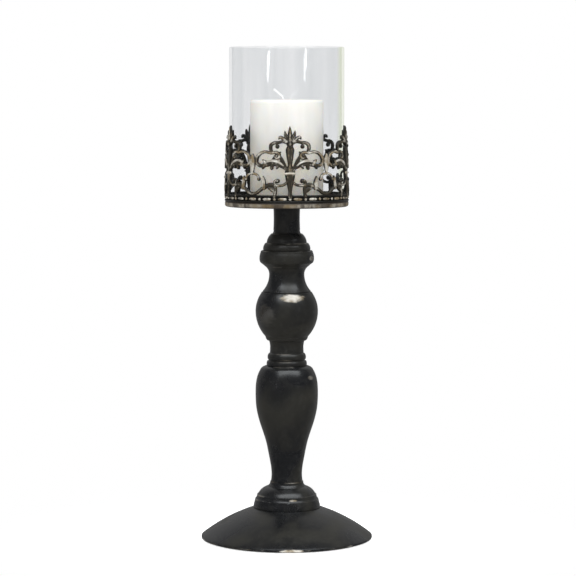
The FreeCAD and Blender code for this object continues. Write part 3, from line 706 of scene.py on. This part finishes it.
# ---- Glass, candle and wick ----------------------------------------------------------------------------
def glass(material):
    """Drawn glass tube with fire-polished ends. It takes no light away from the candle inside it."""
    base, top = low("glass_cylinder").z, high("glass_cylinder").z
    outside = radius_of("glass_cylinder")
    half_wall = 1.25 * MM
    middle = outside - half_wall
    inside = outside - 2 * half_wall
    straight = half_wall + 1.5 * MM
    outline = [(inside, base + straight)] + arc((middle, base + half_wall), half_wall, -180, 0, 9)
    outline += [(outside, base + straight), (outside, top - straight)]
    outline += arc((middle, top - half_wall), half_wall, 0, 180, 9) + [(inside, top - straight)]
    points, faces = lathe(outline, sides=192)
    tube = new_piece("glass_tube", points, faces, material, "glass", "glass_cylinder")
    tube.visible_shadow = False
    tube.visible_diffuse = False


def pillar(material):
    """Pillar candle: soft top edge, a shallow dish round the wick and a chamfered foot."""
    base, top = low("candle").z, high("candle").z
    radius = radius_of("candle")
    edge, chamfer_in, chamfer_up = 3.2 * MM, 1.2 * MM, 1.0 * MM
    outline = [(0, base), (radius - chamfer_in, base), (radius, base + chamfer_up)]
    outline += arc((radius - edge, top - edge), edge, 0, 90, 8)
    dish = [(radius - 6 * MM, 0.05), (radius * 0.5, 0.5), (5 * MM, 0.8), (0, 0.8)]
    outline += [(out, top - sunk * MM) for out, sunk in dish]
    points, faces = lathe(outline, sides=160)
    new_piece("pillar_candle", points, faces, material, "candle", "candle")


def wick_path(count=60):
    """Centre line of the wick from just inside the wax: up, round a bend and out to the left."""
    off_centre, rise = 3.6 * MM, 4.0 * MM
    bend, lean, run = 5.0 * MM, math.radians(50), 9.5 * MM
    centre = Vector((-off_centre - bend, 0, high("candle").z))
    total = rise + bend * lean + run
    for k in range(count):
        at = total * k / (count - 1)
        angle = min(max(at - rise, 0) / bend, lean)
        place = Vector((centre.x + bend * math.cos(angle), 0, centre.z + bend * math.sin(angle)))
        place.z += min(at - rise, 0)
        out = Vector((-math.sin(angle), 0, math.cos(angle)))
        yield place + out * max(at - rise - bend * lean, 0), out


def wick(material):
    """Three waxed strands twisted together."""
    strands, sides, twist = 3, 8, 5.5 * MM
    spread, thick = 0.60 * MM, 0.70 * MM
    points, faces = [], []
    path = list(wick_path())
    sideways = Vector((0, 1, 0))
    for strand in range(strands):
        first = len(points)
        travelled = 0.0
        for k, (place, out) in enumerate(path):
            if k:
                travelled += (place - path[k - 1][0]).length
            phase = math.tau * (travelled / twist + strand / strands)
            across = out.cross(sideways)
            centre = place + (sideways * math.cos(phase) + across * math.sin(phase)) * spread
            for j in range(sides):
                angle = math.tau * j / sides
                points.append(centre + (sideways * math.cos(angle) + across * math.sin(angle)) * thick)
        for k in range(len(path) - 1):
            for j in range(sides):
                here, after = first + k * sides + j, first + k * sides + (j + 1) % sides
                faces.append((here, here + sides, after + sides, after))
        faces.append(tuple(range(first, first + sides)))
        faces.append(tuple(reversed(range(len(points) - sides, len(points)))))
    new_piece("twisted_wick", points, faces, material, "candle", "wick")


# ---- Kept CAD pieces -----------------------------------------------------------------------------------
def finish_kept(nodes, material, width):
    """New material and softened edges for CAD nodes that stay in view."""
    for node in nodes:
        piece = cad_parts[node]
        piece.data.materials.clear()
        piece.data.materials.append(material)
        soften(node, width)


# ---- Light and camera ----------------------------------------------------------------------------------
def softbox(name, place, aim, size, power, shape="RECTANGLE", tint=(1.0, 1.0, 1.0), mirrored=True):
    """Soft light aimed at a point. One that isn't mirrored leaves no reflection of itself."""
    lamp = bpy.data.lights.new(name, "AREA")
    lamp.shape = shape
    lamp.size, lamp.size_y = size
    lamp.energy = power
    lamp.color = tint
    made = bpy.data.objects.new(name, lamp)
    made.location = place
    made.rotation_euler = (Vector(aim) - Vector(place)).to_track_quat("-Z", "Y").to_euler()
    made.visible_glossy = mirrored
    bpy.context.scene.collection.objects.link(made)


def studio():
    """A wide, cool, soft light high in front, a fill light in front and on each side, and two small lights
    whose reflections are the short streaks in the glass."""
    softbox("key", (0.25, -0.85, 1.65), (0.1, 0, 0.25), (2.6, 0.9), 23, tint=(0.93, 0.97, 1.0))
    for name, side in (("fill_left", -1), ("fill_right", 1)):
        softbox(name, (1.6 * side, -0.9, 0.45), (0, 0, 0.4), (0.8, 1.2), 7.5, mirrored=False)
    softbox("fill_front", (0, -2.2, 0.45), (0, 0, 0.4), (0.5, 0.5), 8, mirrored=False)
    softbox("streak_left", (-0.987, -1.259, 0.471), (0, 0, 0.471), (0.07, 0.045), 0.085, "ELLIPSE")
    softbox("streak_right", (0.987, -1.259, 0.489), (0, 0, 0.489), (0.07, 0.048), 0.10, "ELLIPSE")


def surroundings():
    """White as a backdrop, and a little dimmer as soft light. Mirrored, it is dark but for its upper back."""
    world = bpy.data.worlds.new("surroundings")
    bpy.context.scene.world = world
    world.use_nodes = True
    room = Nodes(world.node_tree, "Generated")
    path = room.tree.nodes.new("ShaderNodeLightPath").outputs
    depth, height = room.parts()[1:]
    upper = room.mapped(height, 0.1, 0.5, 0.60, 1.0)
    upper_back = room.maths("MULTIPLY", room.mapped(depth, 0.1, 0.75, 0.0, 0.30), upper)
    mirrored = room.maths("ADD", upper_back, 0.08)
    seen = room.maths("MAXIMUM", path["Is Camera Ray"], path["Is Transmission Ray"])
    seen = room.maths("MAXIMUM", seen, room.maths("MULTIPLY", path["Is Diffuse Ray"], 0.80))
    background = room.tree.nodes["Background"]
    room.fill(background.inputs["Strength"], room.maths("MAXIMUM", mirrored, seen))
    background.inputs["Color"].default_value = colour(1.0, 1.0, 1.0)


def floor():
    """White floor that fades out into the backdrop."""
    shader = Shader("floor", Roughness=0.7, Emission_Strength=0.75)
    shader.principled.inputs["Base Color"].default_value = colour(0.94, 0.94, 0.94)
    shader.principled.inputs["Emission Color"].default_value = colour(1.0, 1.0, 1.0)
    radius, fade, thick, gap = 0.45, 0.30, 0.004, 0.0005
    shader.drive("Alpha", shader.near((0.0, 0.0, 0.0), fade, fade))
    outline = [(radius, 0.0), (0.0, 0.0), (0.0, -thick), (radius, -thick)]
    points, faces = lathe(outline, sides=96)
    mesh = bpy.data.meshes.new("floor")
    mesh.from_pydata(points, [], faces)
    mesh.materials.append(shader.material)
    made = bpy.data.objects.new("floor", mesh)
    made.location.z = -gap
    made.visible_glossy = False
    bpy.context.scene.collection.objects.link(made)
    made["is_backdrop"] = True


def camera():
    """Long lens, level with the glass and looking slightly down."""
    lens = bpy.data.cameras.new("camera")
    lens.sensor_width = 36.0
    lens.lens = 151.9
    made = bpy.data.objects.new("camera", lens)
    made.location = (0.0012, -2.33, 0.4279)
    made.rotation_euler = (math.radians(90 - 4.54), 0, 0)
    bpy.context.scene.collection.objects.link(made)
    bpy.context.scene.camera = made


# ---- The model -----------------------------------------------------------------------------------------
black, gilt_metal, zinc = black_metal(), gallery_metal("gallery_metal", 0.35), steel()
finish_kept(STEM_NODES, black, 0.15 * MM)
finish_kept(["pan"], tray_metal(), 0.3 * MM)
finish_kept(["lower_wire", "upper_wire"], gallery_metal("wire_metal", 0.0), 0.2 * MM)
finish_kept(["foot_washer", "foot_nut", "tie_rod", "pan_washer", "pan_nut"], zinc, 0.2 * MM)
finish_kept(["felt_ring"], felt(), 0.2 * MM)
gallery(gilt_metal)
border(gallery_metal("border_metal", 0.4))
glass(clear_glass())
pillar(wax())
wick(cotton())
studio()
surroundings()
floor()
camera()
bpy.context.scene.view_settings.view_transform = "Standard"

built_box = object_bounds()
sizes = {"cad": cad_box, "built": built_box}
{name: [list(corner) for corner in box] for name, box in sizes.items()}
